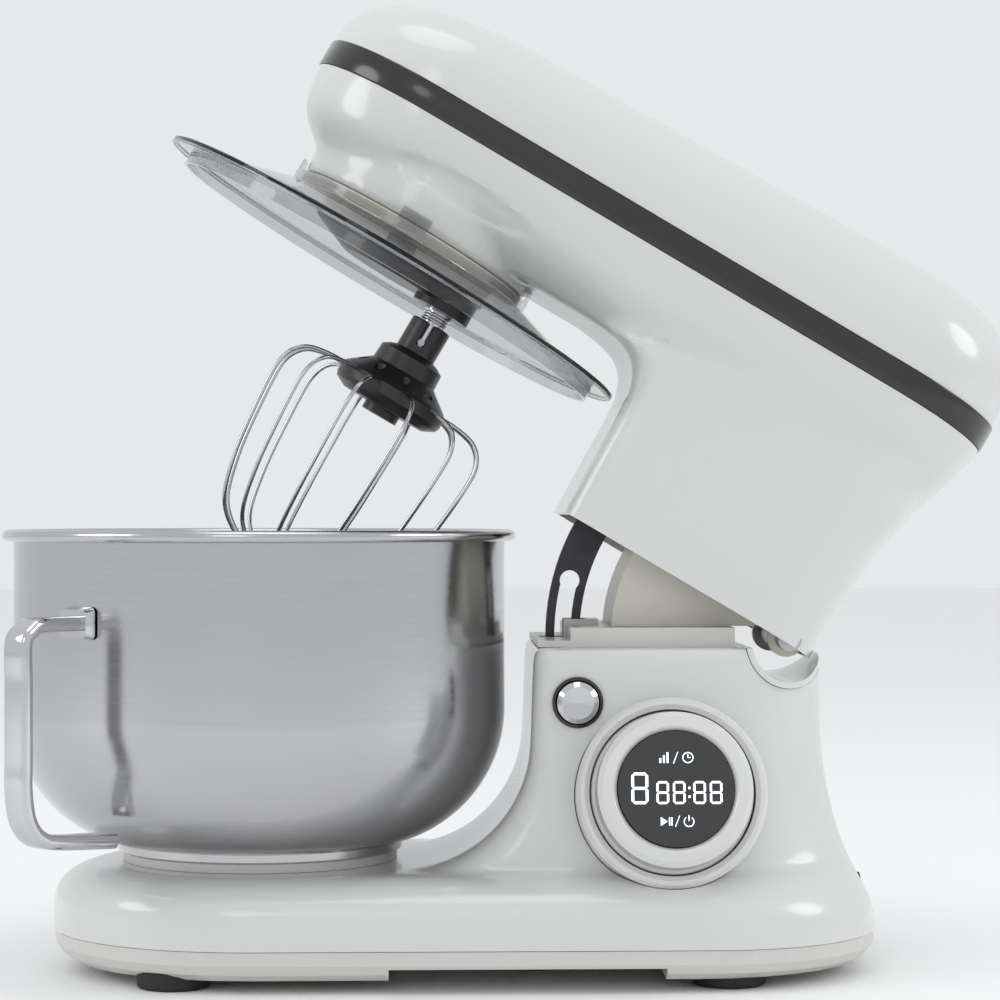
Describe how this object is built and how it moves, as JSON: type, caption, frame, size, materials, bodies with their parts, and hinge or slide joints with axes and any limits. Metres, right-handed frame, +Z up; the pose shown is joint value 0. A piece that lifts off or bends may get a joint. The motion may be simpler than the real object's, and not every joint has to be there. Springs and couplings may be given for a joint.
{
  "type": "stand mixer",
  "caption": "White tilt-head stand mixer with its head raised: steel bowl with a side handle, wire whisk, clear splash guard and a round display dial.",
  "frame": {"origin": "on the standing surface, under the axis of the bowl", "axes": "+X to the rear of the mixer, +Z up, the dial on the -Y side; head pieces are shown raised"},
  "size_m": [0.4411, 0.2299, 0.4208],
  "materials": {
    "white_enamel": "smooth gloss lacquer",
    "white_plastic": "satin",
    "ivory_plastic": "matte",
    "grey_plastic": "matte",
    "black_plastic": "satin",
    "black_rubber": "matte",
    "display_black": "polished glass-like",
    "digit_white": "lit digits",
    "circuit_green": "circuit board lacquer",
    "dark_trim": "dark polished metal band",
    "polished_steel": "polished",
    "plain_steel": "machined",
    "chrome": "polished chrome",
    "dark_steel": "dark phosphated",
    "cast_aluminium": "as cast",
    "brass": "plain",
    "winding_core": "varnished laminations",
    "clear_guard": "clear plastic, faint smoke tint"
  },
  "bodies": {
    "base": {"base_housing": "white_enamel", "base_tray": "white_plastic", "base_screws": "plain_steel", "foot_front_left": "black_rubber", "foot_front_right": "black_rubber", "foot_rear_left": "black_rubber", "foot_rear_right": "black_rubber", "bowl_seat": "white_plastic", "column_cap": "white_plastic", "hinge_cradle": "white_enamel", "hinge_tower": "ivory_plastic", "hinge_pin": "plain_steel", "button_bezel": "dark_trim", "button_spring": "plain_steel", "dial_seat": "white_enamel", "encoder": "grey_plastic", "control_board": "circuit_green", "power_gland": "black_rubber", "display_glass": "display_black", "display_digits": "digit_white", "display_board": "circuit_green"},
    "button": {"release_button": "chrome", "lock_pin": "plain_steel"},
    "dial": {"dial_ring": "white_enamel"},
    "head": {"head_lower_shell": "white_enamel", "head_top_shell": "white_enamel", "trim_band": "dark_trim", "head_screws": "plain_steel", "latch_plate": "dark_steel", "hub_skirt": "ivory_plastic", "ring_gear": "dark_steel", "chassis": "cast_aluminium", "gear_bridge": "cast_aluminium", "hub_bearings": "plain_steel", "motor_stator": "winding_core", "motor_bracket": "cast_aluminium", "motor_brushes": "brass", "drive_belt": "black_rubber"},
    "hub": {"carrier": "black_plastic", "carrier_shaft": "plain_steel", "drive_gear": "ivory_plastic"},
    "beater": {"planet_gear": "plain_steel", "beater_shaft": "chrome", "cross_pin": "plain_steel", "beater_spring": "chrome"},
    "idler": {"idler_shaft": "plain_steel", "idler_pulley": "grey_plastic"},
    "rotor": {"rotor_core": "winding_core", "motor_shaft": "plain_steel", "motor_fan": "black_plastic", "motor_pulley": "grey_plastic"},
    "guard": {"splash_guard": "clear_guard"},
    "whisk": {"whisk_hub": "black_plastic", "whisk_wires": "polished_steel"},
    "bowl_body": {"bowl": "polished_steel", "bowl_handle": "chrome"}
  },
  "joints": [
    {"name": "head_tilt", "type": "hinge", "parent": "base", "child": "head", "pos_m": [0.2285, 0, 0.144], "axis": [0, 1, 0], "range_deg": [-30.5, 0]},
    {"name": "hub_spin", "type": "hinge", "parent": "head", "child": "hub", "pos_m": [0.06968, 0, 0.3246], "axis": [0.5075, 0, 0.8616], "continuous": true},
    {"name": "beater_spin", "type": "hinge", "parent": "hub", "child": "beater", "pos_m": [0.07823, 0, 0.2859], "axis": [0.5075, 0, 0.8616], "continuous": true},
    {"name": "idler_spin", "type": "hinge", "parent": "head", "child": "idler", "pos_m": [0.11577, 0, 0.31416], "axis": [0.5075, 0, 0.8616], "continuous": true},
    {"name": "rotor_spin", "type": "hinge", "parent": "head", "child": "rotor", "pos_m": [0.2354, 0, 0.28083], "axis": [0.5075, 0, 0.8616], "continuous": true},
    {"name": "dial_turn", "type": "hinge", "parent": "base", "child": "dial", "pos_m": [0.1752, -0.09, 0.0853], "axis": [0, -0.9816, 0.1908], "continuous": true},
    {"name": "button_press", "type": "slide", "parent": "base", "child": "button", "axis": [0, 1, 0], "range_m": [0, 0.005], "stiffness_N_per_m": 900, "springref_m": -0.004},
    {"name": "guard_slide", "type": "slide", "parent": "head", "child": "guard", "axis": [-0.5075, 0, -0.8616], "range_m": [0, 0.009]},
    {"name": "whisk_pull", "type": "slide", "parent": "beater", "child": "whisk", "axis": [-0.5075, 0, -0.8616], "range_m": [0, 0.03]},
    {"name": "bowl_lift", "type": "slide", "parent": "base", "child": "bowl_body", "axis": [0, 0, 1], "range_m": [0, 0.05]}
  ],
  "couplings": [
    {"joint": "beater_spin", "follows": "hub_spin", "ratio": -3},
    {"joint": "idler_spin", "follows": "hub_spin", "ratio": -3.8},
    {"joint": "rotor_spin", "follows": "hub_spin", "ratio": -11.822}
  ]
}
